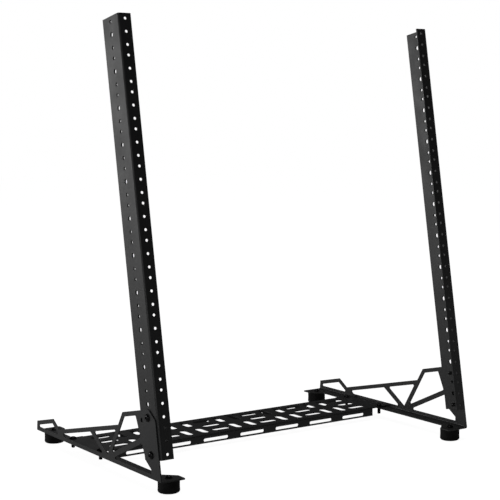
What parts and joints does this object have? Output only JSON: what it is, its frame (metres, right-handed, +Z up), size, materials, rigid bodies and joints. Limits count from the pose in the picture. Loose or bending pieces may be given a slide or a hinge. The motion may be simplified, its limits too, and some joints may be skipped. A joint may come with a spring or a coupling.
{
  "type": "desktop frame rack",
  "caption": "Open desktop rack frame: two leaning drilled angle rails on folded truss brackets with rubber feet, joined by a slotted tray.",
  "frame": {"origin": "on the floor under the centre of the footprint", "axes": "+X to the right, +Y to the back, +Z up; the rails' equipment faces look towards -Y and lean back"},
  "size_m": [0.4926, 0.342, 0.5686],
  "materials": {
    "powder_coat": "matt black powder coat",
    "foot_rubber": "matt moulded",
    "screw_black": "black oxide, satin"
  },
  "bodies": {
    "root": {"left_side_bracket": "powder_coat", "right_side_bracket": "powder_coat", "left_rail": "powder_coat", "right_rail": "powder_coat", "shelf_tray": "powder_coat", "front_left_foot": "foot_rubber", "front_left_foot_screw": "screw_black", "front_left_tray_screw": "screw_black", "front_right_foot": "foot_rubber", "front_right_foot_screw": "screw_black", "front_right_tray_screw": "screw_black", "rear_left_foot": "foot_rubber", "rear_left_foot_screw": "screw_black", "rear_left_tray_screw": "screw_black", "rear_right_foot": "foot_rubber", "rear_right_foot_screw": "screw_black", "rear_right_tray_screw": "screw_black", "left_lower_rail_screw": "screw_black", "left_upper_rail_screw": "screw_black", "right_lower_rail_screw": "screw_black", "right_upper_rail_screw": "screw_black"}
  },
  "joints": []
}
